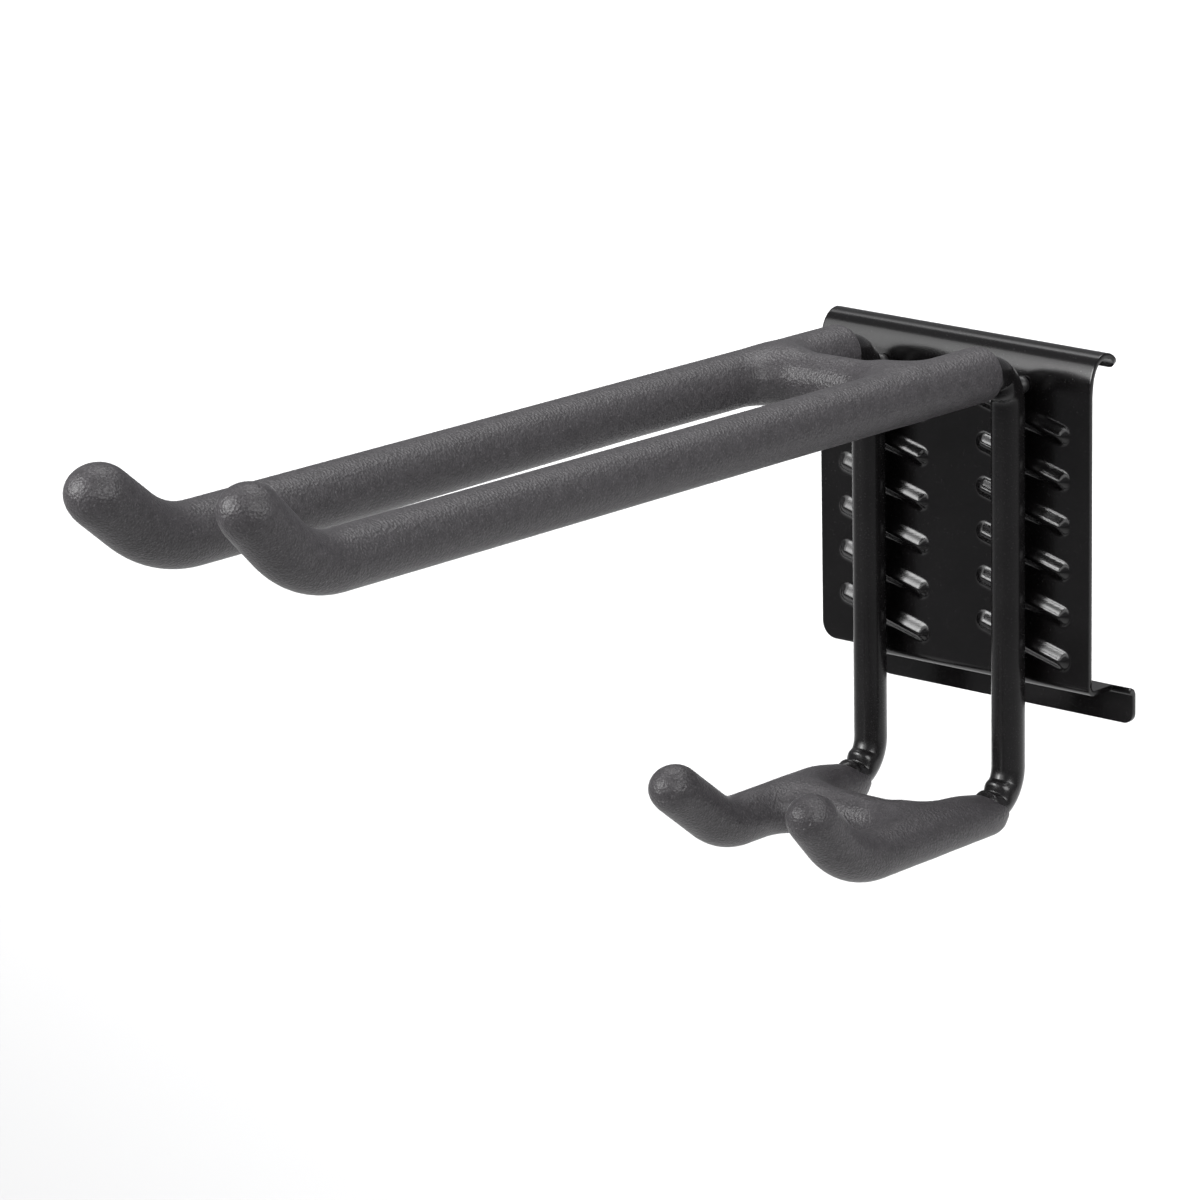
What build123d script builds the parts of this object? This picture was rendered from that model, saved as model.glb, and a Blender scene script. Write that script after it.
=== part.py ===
from build123d import *
import os
from math import cos, radians, sin

# A wall rack that hangs a bicycle from a slatted wall panel.  A pressed steel plate hooks into the
# panel, two bent tubes are welded to its ribs, and a thick foam coat covers the arms and the hooks.
# The panel's face is the plane Y = 0, the rack stands out towards -Y, and Z is up.
# The origin lies on the plate's back face, on its centre line, at mid height.

# ---------------------------------------------------------------- driving dimensions, millimetres

# back plate, pressed from one sheet
PLATE_WIDTH = 127.0
SHEET = 2.0
PLATE_RISE = 70.5            # origin up to the crown of the top lip
PLATE_DROP = 60.0            # origin down to the underside of the shelf
LIP_RADIUS = 9.0             # outside radius of the rolled lip
LIP_END_ANGLE = 25.0         # where the roll stops, above the horizontal
LIP_CORNER = 3.5
FOLD_RADIUS = 4.0            # outside radius of the fold from plate to shelf
SHELF_DEPTH = 16.0           # panel face to the back of the tongue
TONGUE_DROP = 12.3           # underside of the shelf to the tongue's lower edge
TONGUE_LEFT_INSET = 16.0     # the tongue starts this far inside the plate's left edge
TONGUE_OVERHANG = 8.5        # and ends this far outside its right edge
TONGUE_BEND = 1.5            # inside radius of the bend from shelf to tongue
TONGUE_CORNER = 4.0
PLATE_CORNER = 6.5

# pressed ribs, which carry the tubes
RIB_COUNT = 6
RIB_PITCH = 17.2
RIB_FIRST = -42.6            # height of the lowest rib's centre
RIB_LENGTH = 45.0
RIB_ROOT = 6.4
RIB_HEIGHT = 2.4
RIB_CREST = 0.8              # rounding along the crest
RIB_DRAFT = 35.0
RIB_SLOPE = 15.0
GROOVE_WIDTH = 3.6
GROOVE_DEPTH = 1.5

# bent tubes
TUBE_OD = 12.7
TUBE_WALL = 1.5
TUBE_SPACING = 66.0          # centre to centre
WELD_GAP = 0.3               # between a rib's crest and the tube
BEND_RADIUS = 14.5           # centre line of the two bends at the plate
ARM_HEIGHT = 64.0            # origin up to the arms' centre line
HOOK_DROP = 103.7            # origin down to the lower hooks' centre line
ARM_KNEE = 381.0             # panel face to where an arm's run and its tip would meet
HOOK_KNEE = 103.3

# upturned tips, bent by hand, so no two are the same
ARM_TIP_RUN = {"left": 43.7, "right": 42.4}       # knee to the end of the coat
ARM_TIP_ANGLE = {"left": 39.4, "right": 45.9}
ARM_TIP_BEND = {"left": 44.2, "right": 36.7}
HOOK_KNEE_OFFSET = {"left": -3.8, "right": 3.8}
HOOK_TIP_RUN = {"left": 42.9, "right": 38.8}
HOOK_TIP_ANGLE = {"left": 37.8, "right": 47.5}
HOOK_TIP_BEND = {"left": 28.8, "right": 36.0}

# cross tubes between the pair
CROSS_OD = 12.0              # a little under TUBE_OD, so its cut ends sit within the arms
UPPER_CROSS_REACH = 70.6     # panel face to the cross tube's centre line
LOWER_CROSS_REACH = 61.0

# foam coats
ARM_COAT = 4.05              # thickness on the arms
HOOK_COAT = 3.25             # thickness on the lower hooks
CROSS_COAT_STEP = 0.5        # the coat is this much thinner on a cross tube
ARM_COAT_START = 27.0        # panel face to the coat's square end on the arm
HOOK_COAT_WRAP = 24.0        # degrees that the lower coat climbs into the bend
COAT_CAP = 4.0               # coat in front of the plug at a tip
COAT_WEB = 6.0               # fillet where the coat runs from a cross tube to an arm

# plugs that close the tubes' ends, and weld beads
PLUG_HEAD = 1.2
PLUG_LENGTH = 8.0
SEAM = 2.2                   # leg of the weld seam round a cross tube's end
NUGGET_RADIUS = 2.6
BEND_BEAD_RADIUS = 3.4
BEND_BEAD_STAND = 1.2        # the bead's centre stands off the plate by this much
BEND_BEAD_RISE = 6.0         # above the level where the top bend starts

# ---------------------------------------------------------------- derived sizes

TUBE_RADIUS = TUBE_OD / 2
BORE_RADIUS = TUBE_RADIUS - TUBE_WALL
TUBE_X = TUBE_SPACING / 2
LEG_Y = -(SHEET + RIB_HEIGHT + WELD_GAP + TUBE_RADIUS)
ARM_COAT_RADIUS = TUBE_RADIUS + ARM_COAT
HOOK_COAT_RADIUS = TUBE_RADIUS + HOOK_COAT
PLATE_LEFT = -PLATE_WIDTH / 2
PLATE_RIGHT = PLATE_WIDTH / 2
TONGUE_LEFT = PLATE_LEFT + TONGUE_LEFT_INSET
TONGUE_RIGHT = PLATE_RIGHT + TONGUE_OVERHANG
LIP_CENTRE = (LIP_RADIUS - SHEET, PLATE_RISE - LIP_RADIUS)
FAR = 1000.0                 # larger than the object, for trimming
NEAR = 1.0                   # how close an edge's middle has to be to a level to be on it
SIDES = {"left": -1, "right": 1}


def on_side(y, z, side):
    """A point in the plane of one tube."""
    return Vector(SIDES[side] * TUBE_X, y, z)


def arm_point(side, back):
    """A point on an arm's upturned tip, measured back from the coat's end."""
    forward = ARM_TIP_RUN[side] - back
    angle = radians(ARM_TIP_ANGLE[side])
    return on_side(-ARM_KNEE - forward * cos(angle), ARM_HEIGHT + forward * sin(angle), side)


def hook_point(side, back):
    """The same on a lower hook."""
    forward = HOOK_TIP_RUN[side] - back
    angle = radians(HOOK_TIP_ANGLE[side])
    knee = HOOK_KNEE + HOOK_KNEE_OFFSET[side]
    return on_side(-knee - forward * cos(angle), -HOOK_DROP + forward * sin(angle), side)


def round_bar(path, radius):
    """A solid round bar along a path."""
    start = Plane(origin=path @ 0, z_dir=path % 0)
    return sweep(start * Circle(radius), path=path)


def tube_path(side):
    """One tube's centre line: arm tip, arm, leg, lower hook, hook tip."""
    back = COAT_CAP + PLUG_HEAD
    points = [
        arm_point(side, back),
        arm_point(side, ARM_TIP_RUN[side]),
        on_side(LEG_Y, ARM_HEIGHT, side),
        on_side(LEG_Y, -HOOK_DROP, side),
        hook_point(side, HOOK_TIP_RUN[side]),
        hook_point(side, back),
    ]
    bends = [ARM_TIP_BEND[side], BEND_RADIUS, BEND_RADIUS, HOOK_TIP_BEND[side]]
    return FilletPolyline(*points, radius=bends)


def bar_from_to(start, end, radius):
    """A solid round bar between two points."""
    along = end - start
    return Solid.make_cylinder(radius, along.length, Plane(origin=start, z_dir=along))


# ---------------------------------------------------------------- back plate

def sheet_section():
    """Section of the sheet across its width: rolled lip, plate, shelf and tongue."""
    lip_y, lip_z = LIP_CENTRE
    under = -PLATE_DROP
    tongue_front = SHELF_DEPTH - SHEET
    fold_y = FOLD_RADIUS - SHEET
    bend = Vector(tongue_front - TONGUE_BEND, under - TONGUE_BEND)
    low = under - TONGUE_DROP
    sweep_angle = 180 - LIP_END_ANGLE
    lip_outer = CenterArc((lip_y, lip_z), LIP_RADIUS, LIP_END_ANGLE, sweep_angle)
    lip_inner = CenterArc((lip_y, lip_z), LIP_RADIUS - SHEET, LIP_END_ANGLE, sweep_angle)
    fold_centre = (fold_y, under + FOLD_RADIUS)
    fold_outer = CenterArc(fold_centre, FOLD_RADIUS, 180, 90)
    fold_inner = CenterArc(fold_centre, FOLD_RADIUS - SHEET, 180, 90)
    bend_inner = CenterArc((bend.X, bend.Y), TONGUE_BEND, 0, 90)
    bend_outer = CenterArc((bend.X, bend.Y), TONGUE_BEND + SHEET, 0, 90)
    outline = [
        lip_outer,
        Line(lip_outer @ 1, fold_outer @ 0),
        fold_outer,
        Line(fold_outer @ 1, bend_inner @ 1),
        bend_inner,
        Line(bend_inner @ 0, (tongue_front, low)),
        Line((tongue_front, low), (SHELF_DEPTH, low)),
        Line((SHELF_DEPTH, low), bend_outer @ 0),
        bend_outer,
        Line(bend_outer @ 1, fold_inner @ 1),
        fold_inner,
        Line(fold_inner @ 0, lip_inner @ 1),
        lip_inner,
        Line(lip_inner @ 0, lip_outer @ 0),
    ]
    return make_face(Curve() + outline)


def edges_near(shape, x, y, z, reach):
    """The edges whose middle lies within reach of a point."""
    target = Vector(x, y, z)
    return shape.edges().filter_by(lambda edge: (edge.center() - target).length < reach)


def trimmed_sheet():
    """The bent sheet with its widths: plate, shelf from the inset, tongue past the right edge."""
    width = TONGUE_RIGHT - PLATE_LEFT
    blank = extrude(Plane.YZ.offset(PLATE_LEFT) * sheet_section(), amount=width)
    bend_start = SHELF_DEPTH - SHEET - TONGUE_BEND
    above_shelf = Pos(PLATE_RIGHT, 0, -PLATE_DROP + SHEET) * Box(
        FAR, FAR, FAR, align=(Align.MIN, Align.CENTER, Align.MIN)
    )
    before_bend = Pos(PLATE_RIGHT, bend_start, 0) * Box(
        FAR, FAR, FAR, align=(Align.MIN, Align.MAX, Align.CENTER)
    )
    plate_end = -PLATE_DROP + FOLD_RADIUS - SHEET / 2
    left_waste = Pos(TONGUE_LEFT, 0, plate_end) * Box(
        FAR, FAR, FAR, align=(Align.MAX, Align.CENTER, Align.MAX)
    )
    sheet = blank - above_shelf - before_bend - left_waste
    low_corner = edges_near(sheet, PLATE_LEFT, -SHEET / 2, plate_end, NEAR)
    sheet = fillet(low_corner.filter_by(Axis.Y), PLATE_CORNER)
    tongue_y = SHELF_DEPTH - SHEET / 2
    low = -PLATE_DROP - TONGUE_DROP
    for x in (TONGUE_LEFT, TONGUE_RIGHT):
        sheet = fillet(edges_near(sheet, x, tongue_y, low, NEAR).filter_by(Axis.Y), TONGUE_CORNER)
    middle = LIP_RADIUS - SHEET / 2
    lip_y = LIP_CENTRE[0] + middle * cos(radians(LIP_END_ANGLE))
    lip_z = LIP_CENTRE[1] + middle * sin(radians(LIP_END_ANGLE))
    for x in (PLATE_LEFT, PLATE_RIGHT):
        corner = edges_near(sheet, x, lip_y, lip_z, NEAR / 2)
        sheet = fillet(corner, LIP_CORNER)
    return sheet


def rib_places():
    """Where each rib crosses its tube: side, number and height."""
    for side in SIDES:
        for number in range(RIB_COUNT):
            yield side, number + 1, RIB_FIRST + number * RIB_PITCH


def on_plate(face_y, x, z, angle):
    """A working plane on the sheet, facing the front, turned by the rib's slope."""
    return Plane(origin=(x, face_y, z), x_dir=(1, 0, 0), z_dir=(0, -1, 0)) * Rot(0, 0, angle)


def rib_body():
    """A rib: drafted sides and a rounded crest."""
    body = extrude(SlotOverall(RIB_LENGTH, RIB_ROOT), amount=RIB_HEIGHT, taper=RIB_DRAFT)
    return fillet(body.faces().sort_by(Axis.Z)[-1].edges(), RIB_CREST)


def back_plate():
    sheet = trimmed_sheet()
    rib = rib_body()
    groove_length = RIB_LENGTH - RIB_ROOT + GROOVE_WIDTH
    groove = extrude(SlotOverall(groove_length, GROOVE_WIDTH), amount=GROOVE_DEPTH)
    ribs = []
    grooves = []
    for side, _, height in rib_places():
        ribs.append(on_plate(-SHEET, SIDES[side] * TUBE_X, height, -RIB_SLOPE) * rib)
        grooves.append(on_plate(0, SIDES[side] * TUBE_X, height, -RIB_SLOPE) * groove)
    return sheet + ribs - grooves


# ---------------------------------------------------------------- tubes and their plugs

def tube_solid(side):
    return round_bar(tube_path(side), TUBE_RADIUS)


def frame_tube(side):
    path = tube_path(side)
    return round_bar(path, TUBE_RADIUS) - round_bar(path, BORE_RADIUS)


def tube_plug(point, reach_back, side):
    """A plug with a head on the tube's end and a shank in its bore."""
    head_out = point(side, COAT_CAP)
    head_in = point(side, COAT_CAP + PLUG_HEAD)
    shank_in = point(side, reach_back)
    return bar_from_to(head_in, head_out, TUBE_RADIUS) + bar_from_to(shank_in, head_in, BORE_RADIUS)


def cross_bar(reach, height, radius):
    """A round bar from one tube's centre line to the other's."""
    return bar_from_to(on_side(-reach, height, "left"), on_side(-reach, height, "right"), radius)


def cross_tube(reach, height, tubes):
    """A tube whose ends are cut to sit on the arms."""
    wall = cross_bar(reach, height, CROSS_OD / 2) - cross_bar(reach, height, CROSS_OD / 2 - TUBE_WALL)
    return wall - tubes


def cross_seam(reach, height, side, tubes):
    """The weld seam that fills the corner between a cross tube's end and an arm."""
    middle = on_side(-reach, height, side)
    reach_along = Vector(0, CROSS_OD, 0)
    sleeve = bar_from_to(middle - reach_along, middle + reach_along, TUBE_RADIUS + SEAM)
    collar = bar_from_to(middle, Vector(0, middle.Y, middle.Z), CROSS_OD / 2 + SEAM)
    return (sleeve & collar) - tubes - cross_bar(reach, height, CROSS_OD / 2)


# ---------------------------------------------------------------- weld beads on the plate

def rib_nugget(side, height, plate, tube):
    front = LEG_Y + TUBE_RADIUS / 2
    blob = bar_from_to(on_side(-SHEET, height, side), on_side(front, height, side), NUGGET_RADIUS)
    return blob - plate - tube


def bend_bead(side, tube):
    height = ARM_HEIGHT - BEND_RADIUS + BEND_BEAD_RISE
    centre = on_side(-SHEET - BEND_BEAD_STAND, height, side)
    bead = Pos(*centre) * Sphere(BEND_BEAD_RADIUS)
    behind = Pos(0, -SHEET, 0) * Box(FAR, FAR, FAR, align=(Align.CENTER, Align.MIN, Align.CENTER))
    return bead - behind - tube


# ---------------------------------------------------------------- foam coats

def arm_coat(side):
    path = FilletPolyline(
        on_side(-ARM_COAT_START, ARM_HEIGHT, side),
        arm_point(side, ARM_TIP_RUN[side]),
        arm_point(side, ARM_COAT_RADIUS),
        radius=ARM_TIP_BEND[side],
    )
    end = path @ 1
    return round_bar(path, ARM_COAT_RADIUS) + Pos(*end) * Sphere(ARM_COAT_RADIUS)


def hook_coat(side):
    path = FilletPolyline(
        on_side(LEG_Y, 0, side),
        on_side(LEG_Y, -HOOK_DROP, side),
        hook_point(side, HOOK_TIP_RUN[side]),
        hook_point(side, HOOK_COAT_RADIUS),
        radius=[BEND_RADIUS, HOOK_TIP_BEND[side]],
    )
    end = path @ 1
    bar = round_bar(path, HOOK_COAT_RADIUS) + Pos(*end) * Sphere(HOOK_COAT_RADIUS)
    bend_centre = on_side(LEG_Y - BEND_RADIUS, -HOOK_DROP + BEND_RADIUS, side)
    trim = Plane(origin=bend_centre, x_dir=(1, 0, 0), z_dir=(0, 1, 0))
    trim = trim * Rot(HOOK_COAT_WRAP, 0, 0)
    waste = trim * Box(FAR, FAR, FAR, align=(Align.CENTER, Align.CENTER, Align.MIN))
    return bar - waste


def coat(pair, reach, height, radius, inside):
    """Two coated bars and the coated cross tube as one skin, hollow where the steel is."""
    bridge_radius = radius - CROSS_COAT_STEP
    skin = pair[0] + pair[1] + cross_bar(reach, height, bridge_radius)
    corners = skin.edges().filter_by(
        lambda edge: abs(edge.center().Y + reach) < NEAR and abs(edge.center().X) < TUBE_X
    )
    skin = fillet(corners.filter_by(GeomType.LINE, reverse=True), COAT_WEB)
    return skin - inside


# ---------------------------------------------------------------- the assembly

def assembly():
    nodes = {}
    plate = back_plate()
    nodes["back_plate"] = plate
    tubes = {side: tube_solid(side) for side in SIDES}
    both = list(tubes.values())
    for side in SIDES:
        nodes[f"frame_tube_{side}"] = frame_tube(side)
        nodes[f"arm_plug_{side}"] = tube_plug(arm_point, COAT_CAP + PLUG_LENGTH, side)
        nodes[f"hook_plug_{side}"] = tube_plug(hook_point, COAT_CAP + PLUG_LENGTH, side)
        nodes[f"bend_bead_{side}"] = bend_bead(side, tubes[side])
    for side, number, height in rib_places():
        nodes[f"rib_weld_{side}_{number}"] = rib_nugget(side, height, plate, tubes[side])
    levels = {
        "upper": (UPPER_CROSS_REACH, ARM_HEIGHT, ARM_COAT_RADIUS, arm_coat, "arm"),
        "lower": (LOWER_CROSS_REACH, -HOOK_DROP, HOOK_COAT_RADIUS, hook_coat, "hook"),
    }
    for level, (reach, height, radius, bar, plug) in levels.items():
        nodes[f"{level}_cross_tube"] = cross_tube(reach, height, both)
        seams = {side: cross_seam(reach, height, side, both) for side in SIDES}
        for side, seam in seams.items():
            nodes[f"{level}_cross_weld_{side}"] = seam
        steel = both + [cross_bar(reach, height, CROSS_OD / 2)] + list(seams.values())
        steel += [nodes[f"{plug}_plug_{side}"] for side in SIDES]
        nodes[f"{level}_foam_coat"] = coat([bar(side) for side in SIDES], reach, height, radius, steel)
    return nodes


os.makedirs("parts", exist_ok=True)
for node, shape in assembly().items():
    export_step(shape, f"parts/{node}.step")
    print(node, len(shape.solids()), round(sum(solid.volume for solid in shape.solids()), 1))
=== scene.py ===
from math import atan2, ceil, cos, hypot, pi, radians, sin, tan

import bmesh
import bpy
import numpy as np
from mathutils import Matrix, Vector


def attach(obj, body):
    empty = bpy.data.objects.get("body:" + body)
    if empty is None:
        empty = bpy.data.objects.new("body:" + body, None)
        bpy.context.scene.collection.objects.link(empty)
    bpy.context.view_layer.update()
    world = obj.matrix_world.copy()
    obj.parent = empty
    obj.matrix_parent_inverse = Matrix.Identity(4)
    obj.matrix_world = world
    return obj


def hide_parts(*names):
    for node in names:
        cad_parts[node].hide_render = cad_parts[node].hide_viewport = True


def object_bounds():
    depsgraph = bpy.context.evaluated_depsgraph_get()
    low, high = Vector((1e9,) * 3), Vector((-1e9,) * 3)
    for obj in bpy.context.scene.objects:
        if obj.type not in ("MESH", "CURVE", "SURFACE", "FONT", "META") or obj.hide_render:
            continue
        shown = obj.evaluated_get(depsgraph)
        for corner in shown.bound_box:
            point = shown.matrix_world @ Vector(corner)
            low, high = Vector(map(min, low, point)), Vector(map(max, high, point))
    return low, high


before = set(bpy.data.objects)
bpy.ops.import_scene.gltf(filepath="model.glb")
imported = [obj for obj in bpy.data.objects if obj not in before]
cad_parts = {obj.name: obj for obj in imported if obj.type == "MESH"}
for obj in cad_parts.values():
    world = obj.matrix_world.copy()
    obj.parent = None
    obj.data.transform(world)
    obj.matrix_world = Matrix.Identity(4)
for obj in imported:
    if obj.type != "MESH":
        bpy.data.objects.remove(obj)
cad_low, cad_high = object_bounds()

# ---------------------------------------------------------------- studio
# A pale floor that runs back past the rack, a large soft light and a brighter strip to the left of
# the front, a soft light on the right, one overhead, and one for the floor behind the rack.

scene = bpy.context.scene
scene.view_settings.view_transform = "Standard"

rack_middle = (cad_low + cad_high) / 2

camera_data = bpy.data.cameras.new("studio_camera")
camera_data.sensor_width = 36.0
camera_data.lens = 160.95
camera_data.shift_x = 0.0063
camera_data.shift_y = 0.0008
camera_data.clip_end = 60.0
camera = bpy.data.objects.new("studio_camera", camera_data)
scene.collection.objects.link(camera)
camera_place = Vector((1.20464, -1.55095, 0.49364))
towards_camera = Vector((0.64456, -0.71961, 0.25826)).normalized()
camera_roll = radians(-1.24)
level_right = (-towards_camera).cross(Vector((0, 0, 1))).normalized()
level_up = towards_camera.cross(level_right)
camera_right = level_right * cos(camera_roll) + level_up * sin(camera_roll)
camera_up = level_up * cos(camera_roll) - level_right * sin(camera_roll)
camera_axes = Matrix((camera_right, camera_up, towards_camera)).transposed().to_4x4()
camera.matrix_world = Matrix.Translation(camera_place) @ camera_axes
scene.camera = camera

world = bpy.data.worlds.new("studio_air")
world.use_nodes = True
air = world.node_tree.nodes["Background"]
air.inputs["Color"].default_value = (0.28, 0.28, 0.29, 1)
scene.world = world


def soft_light(name, place, target, size, radiance, spread=180.0):
    """A rectangular soft light that faces a point; radiance is how bright its face would look."""
    lamp = bpy.data.lights.new(name, "AREA")
    lamp.shape = "RECTANGLE"
    lamp.size, lamp.size_y = size
    lamp.energy = radiance * pi * size[0] * size[1]
    lamp.spread = radians(spread)
    stand = bpy.data.objects.new(name, lamp)
    scene.collection.objects.link(stand)
    stand.location = place
    stand.rotation_euler = (Vector(target) - Vector(place)).to_track_quat("-Z", "Y").to_euler()


soft_light("key_light", (-0.46, -1.28, 0.6), rack_middle, (1.8, 1.35), 1.3, 120)
soft_light("strip_light", (-0.47, -1.16, 0.56), rack_middle, (0.42, 0.95), 4.0, 110)
soft_light("right_light", (1.5, -0.35, 0.75), rack_middle, (1.3, 0.9), 2.7, 120)
soft_light("overhead_light", (-0.2, 0.3, 1.6), (0, -0.15, 0), (1.1, 0.7), 0.8)
soft_light("backdrop_light", (-2.1, 3.0, 2.6), (-2.1, 3.0, -0.6), (7.6, 5.0), 2.6, 90)

FLOOR_DROP = 0.52
floor_level = cad_low.z - FLOOR_DROP
floor_shape = bmesh.new()
bmesh.ops.create_grid(floor_shape, x_segments=8, y_segments=8, size=14.0)
bmesh.ops.translate(floor_shape, verts=floor_shape.verts, vec=(0, 0, floor_level))
floor_mesh = bpy.data.meshes.new("studio_floor")
floor_shape.to_mesh(floor_mesh)
floor_shape.free()
floor_paint = bpy.data.materials.new("pale_floor")
floor_paint.use_nodes = True
floor_shader = floor_paint.node_tree.nodes["Principled BSDF"]
floor_shader.inputs["Base Color"].default_value = (0.5, 0.5, 0.5, 1)
floor_shader.inputs["Roughness"].default_value = 0.9
floor_mesh.materials.append(floor_paint)
floor = bpy.data.objects.new("studio_floor", floor_mesh)
scene.collection.objects.link(floor)

# ---------------------------------------------------------------- back plate
# One sheet of 2 mm steel: a rolled lip over the panel's edge above, a shelf and a tongue below,
# and two columns of pressed ribs that lift the tubes clear.  Blanked, pressed, folded, and then
# powder coated gloss black with everything that is welded to it.

PLATE_LEFT = -63.5
PLATE_RIGHT = 63.5
SHEET = 2.0
LIP_RADIUS = 9.0             # half the lip's width
LIP_RISE = 10.5              # from where the roll begins to its crown
LIP_SWEEP = 155.0
LIP_CORNER = 3.5
LIP_SLANT = 0.0165           # the lip was rolled a little out of level
LIP_SLANT_RUN = (50.0, 65.0)
LIP_LEAN = 0.93              # and the plate starts to lean back a little below it
LIP_LEAN_RUN = (54.0, 64.0)
FOLD_RADIUS = 4.0
PLATE_RUN = (-56.0, 60.0)    # height where the fold ends and where the lip begins
PLATE_CORNER = 6.5
PLATE_END = -57.0
SHELF_RUN = 10.5
TONGUE_BEND = 1.5
TONGUE_RUN = 10.8
TONGUE_SIDES = (-47.5, 72.0)
TONGUE_CORNER = 4.0
SHEET_CELL = 0.75
SHEET_EDGE = 0.35
TUBE_X = 33.0
RIB_HEIGHTS = [-42.6 + 17.2 * row for row in range(6)]
RIB_LENGTH = 45.0
RIB_SLOPE = 15.0
RIB_RISE = 2.4
RIB_HALF = 3.9
RIB_CROWN = 1.5              # 2 is a round crest; less makes it narrower
RIB_FOOT = 1.3               # more spreads the foot
GROOVE_DEPTH = 1.5
GROOVE_HALF = 2.5


class Wire:
    """A link in a finish's nodes: arithmetic on wires and numbers adds Math nodes."""

    def __init__(self, tree, socket=None):
        self.tree = tree
        self.socket = socket

    def node(self, kind, settings, sockets, output=0):
        """Adds any other node: its settings first, then its sockets' values or links."""
        added = self.tree.nodes.new("ShaderNode" + kind)
        for name, value in settings.items():
            setattr(added, name, value)
        for name, value in sockets.items():
            if isinstance(value, Wire):
                self.tree.links.new(value.socket, added.inputs[name])
            else:
                added.inputs[name].default_value = value
        return Wire(self.tree, added.outputs[output])

    def sum_of(self, operation, *values):
        return self.node("Math", {"operation": operation}, dict(enumerate(values)))

    def __add__(self, other):
        return self.sum_of("ADD", self, other)

    def __radd__(self, other):
        return self.sum_of("ADD", other, self)

    def __sub__(self, other):
        return self.sum_of("SUBTRACT", self, other)

    def __rsub__(self, other):
        return self.sum_of("SUBTRACT", other, self)

    def __mul__(self, other):
        return self.sum_of("MULTIPLY", self, other)

    def __rmul__(self, other):
        return self.sum_of("MULTIPLY", other, self)


class Finish:
    """A material under way: its shader, and the object's own coordinates in metres."""

    def __init__(self, name, **steady):
        self.material = bpy.data.materials.new(name)
        self.material.use_nodes = True
        self.tree = self.material.node_tree
        self.shader = self.tree.nodes["Principled BSDF"]
        self.start = Wire(self.tree)
        self.place = self.start.node("TexCoord", {}, {}, "Object")
        for socket, value in steady.items():
            self.shader.inputs[socket.replace("_", " ")].default_value = value

    def noise(self, size, detail=2.0, roughness=0.5):
        """Cloudy noise whose blotches are about that many millimetres."""
        sockets = {"Vector": self.place, "Scale": 1000 / size}
        sockets.update({"Detail": detail, "Roughness": roughness})
        return self.start.node("TexNoise", {}, sockets)

    def cells(self, size):
        """Distance to the nearest of scattered points, that many millimetres apart."""
        sockets = {"Vector": self.place, "Scale": 1000 / size}
        return self.start.node("TexVoronoi", {"feature": "F1"}, sockets)

    def between(self, value, low, high):
        """Eases a value from 0 at the low end to 1 at the high end."""
        sockets = {"Value": value, 1: low, 2: high}
        return self.start.node("MapRange", {"interpolation_type": "SMOOTHSTEP"}, sockets)

    def blend(self, mask, first, second):
        """Mixes two colours."""
        sockets = {0: mask, 6: first, 7: second}
        return self.start.node("Mix", {"data_type": "RGBA"}, sockets, 2)

    def relief(self, height, depth, under=None):
        """Bump from a height of 0 to 1, that many millimetres deep."""
        sockets = {"Height": height, "Distance": depth / 1000, "Strength": 1.0}
        if under is not None:
            sockets["Normal"] = under
        return self.start.node("Bump", {}, sockets)

    def feed(self, socket, value):
        self.tree.links.new(value.socket, self.shader.inputs[socket])


def powder_coat(name, dark, light, gloss, peel):
    """Black powder coat: slow blotches, fine specks and an orange-peel surface."""
    speck_grey = (0.03, 0.029, 0.03, 1)
    finish = Finish(name, IOR=1.5)
    clouds = finish.noise(21, 3)
    specks = finish.between(finish.noise(0.55, 1), 0.62, 0.78)
    body = finish.blend(clouds, dark, light)
    finish.feed("Base Color", finish.blend(specks * 0.3, body, speck_grey))
    finish.feed("Roughness", gloss + 0.08 * clouds + 0.08 * specks)
    ripple = finish.relief(finish.noise(2.6, 1), peel)
    finish.feed("Normal", finish.relief(finish.noise(0.6, 2), peel * 0.12, ripple))
    return finish.material


def made_piece(name, shape, finish):
    """Turns a shape drawn in millimetres into a smooth piece in metres."""
    bmesh.ops.scale(shape, verts=shape.verts, vec=(0.001, 0.001, 0.001))
    mesh = bpy.data.meshes.new(name)
    shape.to_mesh(mesh)
    shape.free()
    mesh.materials.append(finish)
    mesh.shade_smooth()
    piece = bpy.data.objects.new(name, mesh)
    scene.collection.objects.link(piece)
    return piece


fold_run = FOLD_RADIUS * pi / 2
bend_run = TONGUE_BEND * pi / 2
lip_run = LIP_RADIUS * radians(LIP_SWEEP)
low_fold = TONGUE_RUN + bend_run
high_fold = low_fold + SHELF_RUN
plate_start = high_fold + fold_run
plate_stop = plate_start + PLATE_RUN[1] - PLATE_RUN[0]
blank_height = plate_stop + lip_run
skirt_end = plate_start - (PLATE_RUN[0] - PLATE_END)

blank = bmesh.new()
blank_width = TONGUE_SIDES[1] - PLATE_LEFT
bmesh.ops.create_grid(
    blank,
    x_segments=ceil(blank_width / SHEET_CELL),
    y_segments=ceil(blank_height / SHEET_CELL),
    size=0.5,
    matrix=Matrix.Translation(((PLATE_LEFT + TONGUE_SIDES[1]) / 2, blank_height / 2, 0))
    @ Matrix.Diagonal((blank_width, blank_height, 1, 1)),
)
fold_lines = (TONGUE_RUN, low_fold, high_fold, skirt_end, plate_start, plate_stop)
cuts = [((across, 0, 0), (1, 0, 0)) for across in (TONGUE_SIDES[0], PLATE_RIGHT)]
cuts += [((0, up, 0), (0, 1, 0)) for up in fold_lines]
for place, way in cuts:
    every = blank.verts[:] + blank.edges[:] + blank.faces[:]
    bmesh.ops.bisect_plane(blank, geom=every, dist=0.001, plane_co=place, plane_no=way)
waste = []
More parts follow.
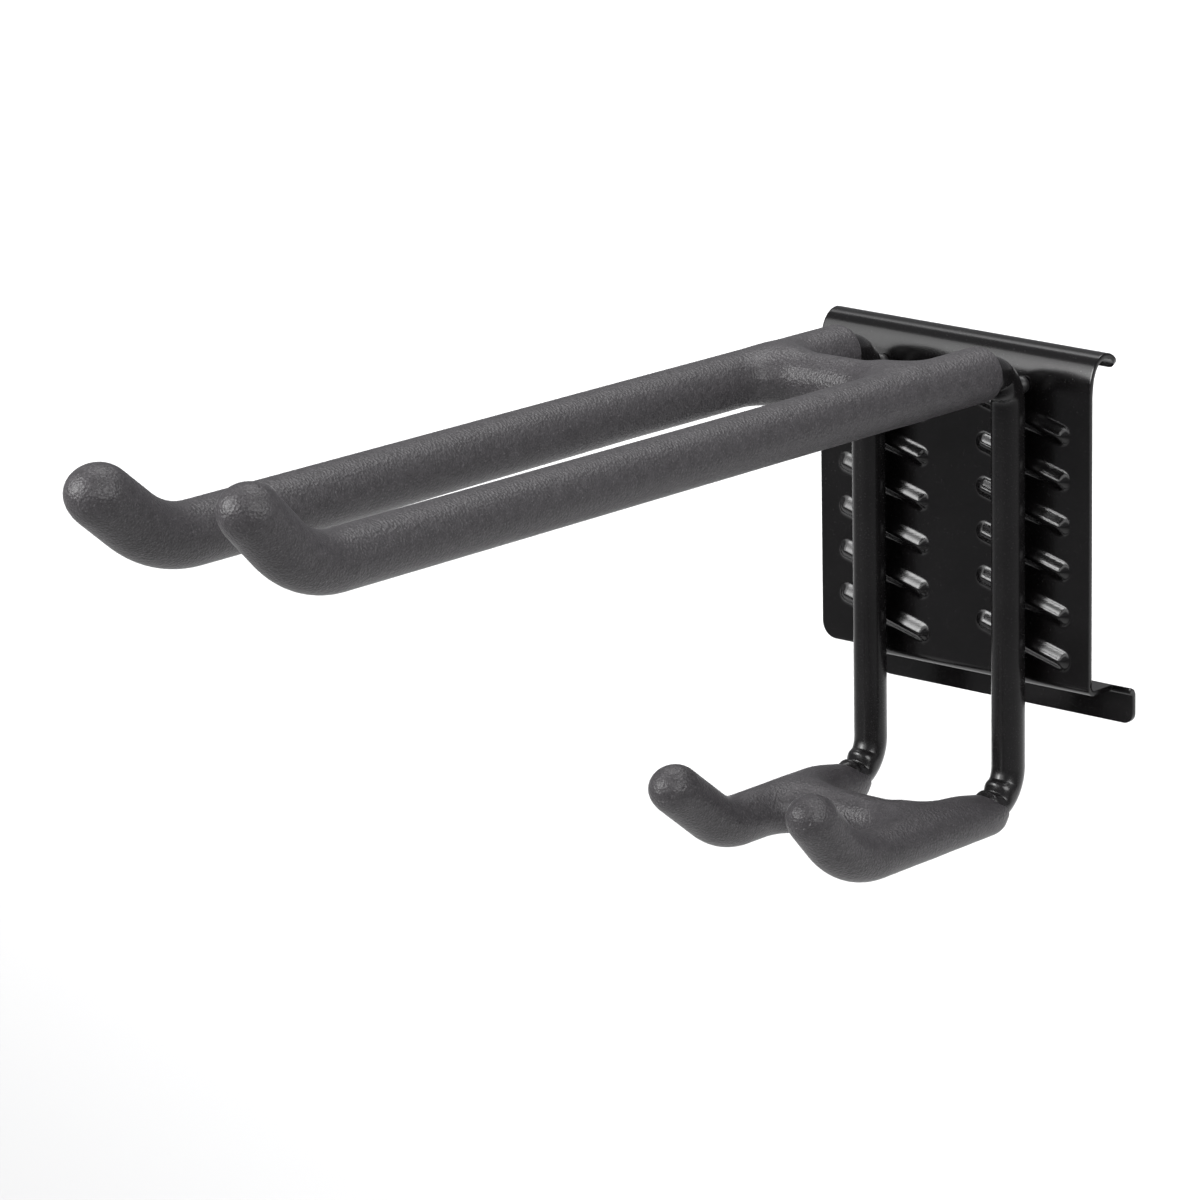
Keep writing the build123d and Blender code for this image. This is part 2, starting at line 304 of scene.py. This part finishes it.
for face in blank.faces:
    middle = face.calc_center_median()
    right_waste = middle.x > PLATE_RIGHT and middle.y > low_fold
    left_waste = middle.x < TONGUE_SIDES[0] and middle.y < skirt_end
    if right_waste or left_waste:
        waste.append(face)
bmesh.ops.delete(blank, geom=waste, context="FACES")


def round_off(shape, corner_x, corner_y, radius, inward_x, inward_y):
    """Draws a square corner of the blank in to a round one."""
    centre = Vector((corner_x + inward_x * radius, corner_y + inward_y * radius, 0))
    for vertex in shape.verts:
        out = vertex.co - centre
        outward = -inward_x * out.x > 0 and -inward_y * out.y > 0
        square = max(abs(out.x), abs(out.y))
        if outward and square <= radius + 0.01:
            vertex.co = centre + out * (square / out.length)


round_off(blank, PLATE_LEFT, skirt_end, PLATE_CORNER, 1, 1)
round_off(blank, TONGUE_SIDES[0], 0, TONGUE_CORNER, 1, 1)
round_off(blank, TONGUE_SIDES[1], 0, TONGUE_CORNER, -1, 1)
round_off(blank, PLATE_LEFT, blank_height, LIP_CORNER, 1, -1)
round_off(blank, PLATE_RIGHT, blank_height, LIP_CORNER, -1, -1)


def folded(up):
    """Where a line of the flat blank ends up on the folded sheet's front and under skin."""
    shelf_y = FOLD_RADIUS - SHEET
    shelf_z = PLATE_RUN[0] - FOLD_RADIUS
    if up > plate_stop:
        turn = (up - plate_stop) / LIP_RADIUS
        return LIP_RADIUS - SHEET - LIP_RADIUS * cos(turn), PLATE_RUN[1] + LIP_RISE * sin(turn)
    if up > plate_start:
        return -SHEET, PLATE_RUN[0] + up - plate_start
    if up > high_fold:
        turn = (plate_start - up) / FOLD_RADIUS
        return shelf_y - FOLD_RADIUS * cos(turn), PLATE_RUN[0] - FOLD_RADIUS * sin(turn)
    if up > low_fold:
        return shelf_y + high_fold - up, shelf_z
    bend_y = shelf_y + SHELF_RUN
    bend_z = shelf_z - TONGUE_BEND
    if up > TONGUE_RUN:
        turn = (low_fold - up) / TONGUE_BEND
        return bend_y + TONGUE_BEND * sin(turn), bend_z + TONGUE_BEND * cos(turn)
    return bend_y + TONGUE_BEND, bend_z - TONGUE_RUN + up


for vertex in blank.verts:
    y, z = folded(vertex.co.y)
    vertex.co = (vertex.co.x, y, z)
bmesh.ops.recalc_face_normals(blank, faces=blank.faces)
blank.normal_update()
if sum(face.normal.y for face in blank.faces) > 0:
    bmesh.ops.reverse_faces(blank, faces=blank.faces)
bmesh.ops.solidify(blank, geom=blank.faces[:], thickness=SHEET)


def pressed(x, z, half_width):
    """How far a point is into the nearest rib, 0 outside it and 1 on its crest."""
    best = 0.0
    run = RIB_LENGTH / 2 - RIB_HALF
    slope_cos = cos(radians(RIB_SLOPE))
    slope_sin = sin(radians(RIB_SLOPE))
    for tube_x in (-TUBE_X, TUBE_X):
        for rib_z in RIB_HEIGHTS:
            along = (x - tube_x) * slope_cos - (z - rib_z) * slope_sin
            across = (x - tube_x) * slope_sin + (z - rib_z) * slope_cos
            off = hypot(max(abs(along) - run, 0.0), across) / half_width
            if off < 1:
                best = max(best, (1 - off ** RIB_CROWN) ** RIB_FOOT)
    return best


def eased(value, run):
    """Rises smoothly from 0 to 1 over a run."""
    share = min(1.0, max(0.0, (value - run[0]) / (run[1] - run[0])))
    return share * share * (3 - 2 * share)


for vertex in blank.verts:
    x, y, z = vertex.co
    press = 0.0
    if PLATE_RUN[0] < z < PLATE_RUN[1] and y < -SHEET / 2:
        press = RIB_RISE * pressed(x, z, RIB_HALF)
    elif PLATE_RUN[0] < z < PLATE_RUN[1] and y < SHEET / 4:
        press = GROOVE_DEPTH * pressed(x, z, GROOVE_HALF)
    vertex.co.y = y - press + LIP_LEAN * eased(z, LIP_LEAN_RUN)
    vertex.co.z = z - LIP_SLANT * x * eased(z, LIP_SLANT_RUN)

PLATE_DARK = (0.0015, 0.0013, 0.0014, 1)
PLATE_LIGHT = (0.0035, 0.0031, 0.0033, 1)
plate_black = powder_coat("gloss_black_plate", PLATE_DARK, PLATE_LIGHT, 0.16, 0.012)
plate = made_piece("back_plate_pressed", blank, plate_black)
edge = plate.modifiers.new("broken_edges", "BEVEL")
edge.width = SHEET_EDGE / 1000
edge.segments = 2
edge.limit_method = "ANGLE"
edge.angle_limit = radians(62)
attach(plate, "root")
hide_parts("back_plate")

# ---------------------------------------------------------------- frame tubes
# Two bent steel tubes, 12.7 mm across: arm, leg and lower hook in one length each.  The two tight
# bends at the plate are cold bent, so the wall gathers in small creases on the inside.

TUBE_RADIUS = 6.35
TUBE_WALL = 1.5
TUBE_SIDES = 64
LEG_Y = -11.05
ARM_Z = 64.0
HOOK_Z = -103.7
PLATE_BEND = 14.5
BEND_Y = LEG_Y - PLATE_BEND
UPPER_BEND_Z = ARM_Z - PLATE_BEND
LOWER_BEND_Z = HOOK_Z + PLATE_BEND
BEND_STEPS = 64
TIP_STEPS = 16
# A tip: where its two runs would meet, bend radius, turn, and the run from there to the coat's end.
ARM_TIPS = {"left": (-381.0, 44.2, 39.4, 43.7), "right": (-381.0, 36.7, 45.9, 42.4)}
HOOK_TIPS = {"left": (-99.5, 28.8, 37.8, 42.9), "right": (-107.1, 36.0, 47.5, 38.8)}
TIP_COVER = 5.2              # foam beyond the tube's end
CREASE_DEPTH = 0.8
CREASE_PITCH = 4.8
CREASE_HUMPS = 1.7           # the two humps, and the pinch between them, as shares of the depth
CREASE_PINCH = 1.3
CREASE_SPREAD = 1.3          # more keeps the crease closer to the bend's inside
UPPER_CREASE = 48.0          # degrees round the bend from the leg
LOWER_CREASE = 61.0
SIDES = {"left": -TUBE_X, "right": TUBE_X}


def tube_ring(shape, ring, run, direction):
    """Draws the tube straight on from its open end."""
    drawn = bmesh.ops.extrude_edge_only(shape, edges=ring)["geom"]
    moved = [part for part in drawn if isinstance(part, bmesh.types.BMVert)]
    bmesh.ops.translate(shape, verts=moved, vec=Vector(direction) * run)
    return [part for part in drawn if isinstance(part, bmesh.types.BMEdge) and part.is_boundary]


def tube_turn(shape, ring, centre, angle, steps):
    """Bends the tube on from its open end, about a centre in its own plane."""
    turned = bmesh.ops.spin(
        shape,
        geom=ring,
        cent=centre,
        axis=(1, 0, 0),
        dvec=(0, 0, 0),
        angle=radians(angle),
        steps=steps,
    )["geom_last"]
    return [part for part in turned if isinstance(part, bmesh.types.BMEdge)]


def crease(vertex, x, centre_y, centre_z, way, middle):
    """Gathers the wall on the inside of a tight bend in two humps; way is 1 for an upper bend."""
    out_y = vertex.co.y - centre_y
    out_z = way * (vertex.co.z - centre_z)
    reach = hypot(out_y, out_z)
    inner = (PLATE_BEND - reach) / TUBE_RADIUS
    if out_z < 0 or inner <= 0:
        return
    turn = atan2(out_z, out_y)
    arc = abs(turn - radians(middle)) * (PLATE_BEND - TUBE_RADIUS) / CREASE_PITCH
    if arc > 1:
        return
    fold = CREASE_HUMPS * sin(pi * arc) - CREASE_PINCH * (1 - arc) ** 3
    share = 1 - PLATE_BEND / reach
    off_line = Vector((vertex.co.x - x, out_y * share, way * out_z * share))
    rise = CREASE_DEPTH * fold * inner ** CREASE_SPREAD
    vertex.co += off_line.normalized() * rise


def tip_way(turn):
    """The way a tip points, past its bend."""
    return Vector((0, -cos(radians(turn)), sin(radians(turn))))


def frame_tube(side):
    """One tube, from its arm's tip to its lower hook's tip."""
    x = SIDES[side]
    shape = bmesh.new()
    knee, bend, turn, run = ARM_TIPS[side]
    back = bend * tan(radians(turn / 2))
    start = Vector((x, knee, ARM_Z)) + tip_way(turn) * (run - TIP_COVER)
    turned = (-tip_way(turn)).to_track_quat("Z", "X").to_matrix().to_4x4()
    mouth = bmesh.ops.create_circle(
        shape,
        cap_ends=False,
        segments=TUBE_SIDES,
        radius=TUBE_RADIUS,
        matrix=Matrix.Translation(start) @ turned,
    )
    ring = list({edge for vertex in mouth["verts"] for edge in vertex.link_edges})
    ring = tube_ring(shape, ring, run - TIP_COVER - back, -tip_way(turn))
    ring = tube_turn(shape, ring, (x, knee + back, ARM_Z + bend), turn, TIP_STEPS)
    ring = tube_ring(shape, ring, BEND_Y - knee - back, (0, 1, 0))
    ring = tube_turn(shape, ring, (x, BEND_Y, UPPER_BEND_Z), -90, BEND_STEPS)
    ring = tube_ring(shape, ring, ARM_Z - HOOK_Z - 2 * PLATE_BEND, (0, 0, -1))
    ring = tube_turn(shape, ring, (x, BEND_Y, LOWER_BEND_Z), -90, BEND_STEPS)
    knee, bend, turn, run = HOOK_TIPS[side]
    back = bend * tan(radians(turn / 2))
    ring = tube_ring(shape, ring, BEND_Y - knee - back, (0, -1, 0))
    ring = tube_turn(shape, ring, (x, knee + back, HOOK_Z + bend), -turn, TIP_STEPS)
    tube_ring(shape, ring, run - TIP_COVER - back, tip_way(turn))
    bmesh.ops.remove_doubles(shape, verts=shape.verts, dist=0.001)
    bmesh.ops.recalc_face_normals(shape, faces=shape.faces)
    for vertex in shape.verts:
        if vertex.co.y > BEND_Y - 0.01:
            crease(vertex, x, BEND_Y, UPPER_BEND_Z, 1, UPPER_CREASE)
            crease(vertex, x, BEND_Y, LOWER_BEND_Z, -1, LOWER_CREASE)
    return shape


TUBE_DARK = (0.0035, 0.0032, 0.0034, 1)
TUBE_LIGHT = (0.008, 0.0074, 0.0077, 1)
tube_black = powder_coat("satin_black_tube", TUBE_DARK, TUBE_LIGHT, 0.2, 0.014)
for side in SIDES:
    tube = made_piece(f"bent_tube_{side}", frame_tube(side), tube_black)
    wall = tube.modifiers.new("wall", "SOLIDIFY")
    wall.thickness = TUBE_WALL / 1000
    wall.offset = -1
    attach(tube, "root")
    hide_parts(f"frame_tube_{side}")

# ---------------------------------------------------------------- welds at the plate
# A short weld holds each tube to each rib's crest, and one larger bead joins the top bend to the
# plate.  All are under the same powder coat, a little lumpier than the tube.

WELD_DARK = (0.004, 0.0037, 0.004, 1)
WELD_LIGHT = (0.009, 0.0085, 0.0088, 1)


def painted(nodes, finish):
    """Puts a finish on pieces that keep the shape they have."""
    for name in nodes:
        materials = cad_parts[name].data.materials
        materials.clear()
        materials.append(finish)


weld_black = powder_coat("coated_weld", WELD_DARK, WELD_LIGHT, 0.42, 0.12)
painted([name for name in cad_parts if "weld" in name or "bead" in name], weld_black)

# ---------------------------------------------------------------- cross tubes
# A short tube joins the pair at each level and keeps them apart.  Its ends are cut to sit on the
# arms and welded all round; the foam coat covers them.

painted(("upper_cross_tube", "lower_cross_tube"), tube_black)

# ---------------------------------------------------------------- tube plugs
# A moulded plastic plug closes each tube's end, so that no foam runs in when the tips are dipped.

PLUG_DARK = (0.014, 0.014, 0.015, 1)
PLUG_LIGHT = (0.028, 0.028, 0.029, 1)

plug_plastic = Finish("plug_plastic", IOR=1.48)
plug_cloud = plug_plastic.noise(4, 3)
plug_plastic.feed("Base Color", plug_plastic.blend(plug_cloud, PLUG_DARK, PLUG_LIGHT))
plug_plastic.feed("Roughness", 0.42 + 0.15 * plug_cloud)
plug_plastic.feed("Normal", plug_plastic.relief(plug_plastic.noise(0.5, 2), 0.03))
painted([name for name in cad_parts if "plug" in name], plug_plastic.material)

# ---------------------------------------------------------------- foam coats
# Soft black foam, dipped on in one skin over both arms and their cross tube, and in another over
# both lower hooks and theirs.  It necks smoothly from tube to tube and ends in blunt tips.

ARM_COAT_RADIUS = 10.4
HOOK_COAT_RADIUS = 9.6
CROSS_STEP = 0.5
CROSS_RADIUS = 6.0
ARM_BRIDGE_Y = -70.6
HOOK_BRIDGE_Y = -61.0
ARM_COAT_END = -27.0
BRIDGE_HALF = 17.0
WEB_BLEND = 15.0
END_ROUND = 1.3
HOOK_COAT_END = (-14.8, -106.4)
HOOK_END_SLANT = 49.8
HOOK_END_TAPER = 8.5         # the lower coat thins out over this length
TIP_LENGTH = 1.2             # as a share of the coat's radius
TIP_BLUNTNESS = 2.0
TIP_GROWTH = 1.2             # the dip builds up at the tips
TIP_DRIP = 1.6               # and hangs a little below the bar
SAG = {"left": (1.0, 0.8), "right": (0.0, 0.2)}    # how far an arm's coat hangs and swells
SAG_RUN = (-150.0, -330.0)   # over this run towards its tip
FOAM_CELL = 1.1
INNER_DEPTH = -1.0           # deeper than this and near the steel is the coat's inner face
TIP_INNER_DEPTH = -2.6
INNER_REACH = 2.7
SKIN_PASSES = 6              # the skin is drawn on in this many passes, none further than a cell
SKIN_REACH = 1.2
SKIN_PROBE = 0.05
LEAST_SLOPE = 0.2
LEG_STUB = 10.0              # the lower coat's line starts this far up the leg


def coat_line(start, heading, moves):
    """A coat's centre line as runs and bends: each with where it starts and how it goes."""
    line = []
    y, z = start
    for kind, *sizes in moves:
        way = np.array((cos(radians(heading)), sin(radians(heading))))
        if kind == "run":
            line.append(("run", np.array((y, z)), way, sizes[0]))
            y, z = np.array((y, z)) + way * sizes[0]
        else:
            radius, turn = sizes
            centre = np.array((y, z)) + radius * np.array((way[1], -way[0]))
            line.append(("bend", centre, radius, heading + 90, turn))
            heading -= turn
            end = radians(heading + 90)
            y, z = centre + radius * np.array((cos(end), sin(end)))
    return line


def bar_depth(spots, x, line, radius):
    """Signed distance to a coated bar with a blunt tip, and distance to its centre line."""
    best = np.full(len(spots), 1e9)
    centre_gap = np.full(len(spots), 1e9)
    flat = spots[:, 1:]

    def reach(foot):
        return np.sqrt((spots[:, 0] - x) ** 2 + ((flat - foot) ** 2).sum(1))

    for number, part in enumerate(line):
        if part[0] == "run":
            _, start, way, length = part
            along = (flat - start) @ way
            low = -1e9 if number == 0 else 0.0
            high = 1e9 if number == len(line) - 1 else length
            held = np.clip(along, low, high)
            foot = start + held[:, None] * way
            gap = reach(foot)
            depth = gap - radius
            if number == len(line) - 1:
                tip = radius * TIP_LENGTH
                beyond = np.clip(along - (length - tip), 0, None) / tip
                hang = TIP_DRIP * (beyond * beyond)[:, None]
                gap = reach(foot - hang * np.array((way[1], -way[0])))
                blunt = (gap / radius) ** TIP_BLUNTNESS + beyond ** TIP_BLUNTNESS
                tip_depth = (blunt ** (1 / TIP_BLUNTNESS) - 1) * radius
                depth = np.where(beyond > 0, tip_depth, depth)
        else:
            _, centre, bend, start_angle, turn = part
            out = flat - centre
            angle = (start_angle - np.degrees(np.arctan2(out[:, 1], out[:, 0])) + 180) % 360 - 180
            held = np.radians(start_angle - np.clip(angle, 0, turn))
            gap = reach(centre + bend * np.stack([np.cos(held), np.sin(held)], 1))
            depth = gap - radius
        nearer = gap < centre_gap
        best = np.where(nearer, depth, best)
        centre_gap = np.where(nearer, gap, centre_gap)
    return best, centre_gap


def joined(first, second, blend):
    """Runs one surface smoothly into another."""
    meet = np.clip(blend - np.abs(first - second), 0, None) / blend
    return np.minimum(first, second) - meet * meet * blend / 4


def coat_depth(spots, coat):
    """Signed distance to a whole coat's skin, and distance to the steel inside it."""
    sagged = np.clip((spots[:, 1] - SAG_RUN[0]) / (SAG_RUN[1] - SAG_RUN[0]), 0, 1)
    bars = []
    for side, x in SIDES.items():
        hang, swell = SAG[side]
        lifted = spots + np.outer(sagged * hang, (0, 0, 1))
        radius = coat["radius"] + sagged * swell
        bars.append(bar_depth(lifted, x, coat["lines"][side], radius))
    held = np.clip(spots[:, 0], -BRIDGE_HALF, BRIDGE_HALF)
    middle = np.array((coat["bridge_y"], coat["level"]))
    flat_gap = ((spots[:, 1:] - middle) ** 2).sum(1)
    bridge = np.sqrt((spots[:, 0] - held) ** 2 + flat_gap) - coat["radius"] + CROSS_STEP
    skin = np.minimum(bars[0][0], bars[1][0])
    skin = joined(skin, bridge, WEB_BLEND)
    end = (spots[:, 1:] - coat["end_spot"]) @ coat["end_way"]
    if coat["taper"]:
        thin = (coat["radius"] - TUBE_RADIUS) * (1 + end / coat["taper"])
        skin = skin - joined(-thin, 0.0, END_ROUND)
    skin = -joined(-skin, -end, END_ROUND)
    steel = np.minimum(bars[0][1], bars[1][1]) - TUBE_RADIUS
    cross = np.where(np.abs(spots[:, 0]) < TUBE_X, np.sqrt(flat_gap) - CROSS_RADIUS, 1e9)
    return skin, np.minimum(steel, cross)


def coat_skin(node, coat):
    """The coat's mesh: remeshed from its solid, then drawn on to its smooth skin."""
    solid = bmesh.new()
    solid.from_mesh(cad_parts[node].data)
    bmesh.ops.remove_doubles(solid, verts=solid.verts, dist=1e-6)
    mesh = bpy.data.meshes.new(node + "_skin")
    solid.to_mesh(mesh)
    solid.free()
    rough = bpy.data.objects.new(node + "_skin", mesh)
    scene.collection.objects.link(rough)
    remesh = rough.modifiers.new("even_cells", "REMESH")
    remesh.mode = "VOXEL"
    remesh.voxel_size = FOAM_CELL / 1000
    evaluated = rough.evaluated_get(bpy.context.evaluated_depsgraph_get())
    skin = bpy.data.meshes.new_from_object(evaluated)
    bpy.data.objects.remove(rough)
    count = len(skin.vertices)
    spots = np.empty(count * 3)
    skin.vertices.foreach_get("co", spots)
    spots = spots.reshape(-1, 3) * 1000
    depth, steel = coat_depth(spots, coat)
    limit = np.where(spots[:, 1] < coat["tips_from"], TIP_INNER_DEPTH, INNER_DEPTH)
    outer = ~((depth < limit) & (steel < INNER_REACH))
    moving = spots[outer]
    for _ in range(SKIN_PASSES):
        depth, _ = coat_depth(moving, coat)
        slope = np.empty_like(moving)
        for axis in range(3):
            step = np.zeros(3)
            step[axis] = SKIN_PROBE
            rise = coat_depth(moving + step, coat)[0] - coat_depth(moving - step, coat)[0]
            slope[:, axis] = rise / (2 * SKIN_PROBE)
        square = np.clip((slope ** 2).sum(1), LEAST_SLOPE, None)
        move = slope * (depth / square)[:, None]
        length = np.linalg.norm(move, axis=1)
        move *= np.minimum(1, SKIN_REACH / np.clip(length, 1e-9, None))[:, None]
        moving = moving - move
    spots[outer] = moving
    skin.vertices.foreach_set("co", (spots / 1000).ravel())
    skin.update()
    return skin


def tip_moves(tip, run_start):
    """The last moves of a coat's line: along the level run, round the bend and out to the tip."""
    knee, bend, turn, run = tip
    back = bend * tan(radians(turn / 2))
    last_run = run + TIP_GROWTH - back
    return [("run", run_start - knee - back), ("bend", bend, turn), ("run", last_run)]


end_slant = radians(HOOK_END_SLANT)
arm_start = (ARM_COAT_END, ARM_Z)
leg_start = (LEG_Y, LOWER_BEND_Z + LEG_STUB)
leg_moves = [("run", LEG_STUB), ("bend", PLATE_BEND, 90.0)]
coats = {
    "upper": {
        "radius": ARM_COAT_RADIUS,
        "level": ARM_Z,
        "bridge_y": ARM_BRIDGE_Y,
        "end_spot": np.array(arm_start),
        "end_way": np.array((1.0, 0.0)),
        "taper": 0,
        "tips_from": min(tip[0] for tip in ARM_TIPS.values()),
        "lines": {
            side: coat_line(arm_start, 180, tip_moves(tip, ARM_COAT_END))
            for side, tip in ARM_TIPS.items()
        },
    },
    "lower": {
        "radius": HOOK_COAT_RADIUS,
        "level": HOOK_Z,
        "bridge_y": HOOK_BRIDGE_Y,
        "end_spot": np.array(HOOK_COAT_END),
        "end_way": np.array((cos(end_slant), sin(end_slant))),
        "taper": HOOK_END_TAPER,
        "tips_from": min(tip[0] for tip in HOOK_TIPS.values()),
        "lines": {
            side: coat_line(leg_start, 270, leg_moves + tip_moves(tip, BEND_Y))
            for side, tip in HOOK_TIPS.items()
        },
    },
}

FOAM_DARK = (0.0345, 0.0322, 0.0345, 1)
FOAM_LIGHT = (0.049, 0.0458, 0.049, 1)
# the darkest grey is painted shade in the pores of the foam
FOAM_PIT_SHADE = (0.022, 0.0203, 0.022, 1)
# light grey painted into the foam as glints, where grain facets would catch the light
FOAM_GLINT_SPECK = (0.125, 0.118, 0.123, 1)

foam = Finish("black_foam", IOR=1.42)
pores = foam.cells(1.0)
fine = foam.noise(0.55, 3, 0.6)
mottle = foam.noise(3.4, 4, 0.65)
drift = foam.noise(38, 2)
# fine light specks laid into the foam's colour: painted highlights on the grain, not dust
glint_specks = foam.between(foam.noise(0.75, 2, 0.6), 0.56, 0.72)
foam_body = foam.blend(foam.between(mottle, 0.3, 0.7), FOAM_DARK, FOAM_LIGHT)
foam_body = foam.blend(glint_specks * 0.55, foam_body, FOAM_GLINT_SPECK)
# where the fine grain's bump is lowest the colour turns darkest: painted shade in the pores
foam.feed("Base Color", foam.blend(foam.between(fine, 0.3, 0.5), FOAM_PIT_SHADE, foam_body))
foam.feed("Roughness", 0.38 + 0.12 * mottle - 0.06 * drift)
lumps = foam.relief(foam.noise(7, 2), 0.2)
leather = foam.relief(pores, 0.2, lumps)
foam.feed("Normal", foam.relief(fine, 0.07, leather))

for level, coat in coats.items():
    mesh = coat_skin(f"{level}_foam_coat", coat)
    mesh.materials.clear()
    mesh.materials.append(foam.material)
    mesh.shade_smooth()
    piece = bpy.data.objects.new(f"{level}_foam_dip", mesh)
    scene.collection.objects.link(piece)
    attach(piece, "root")
    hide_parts(f"{level}_foam_coat")
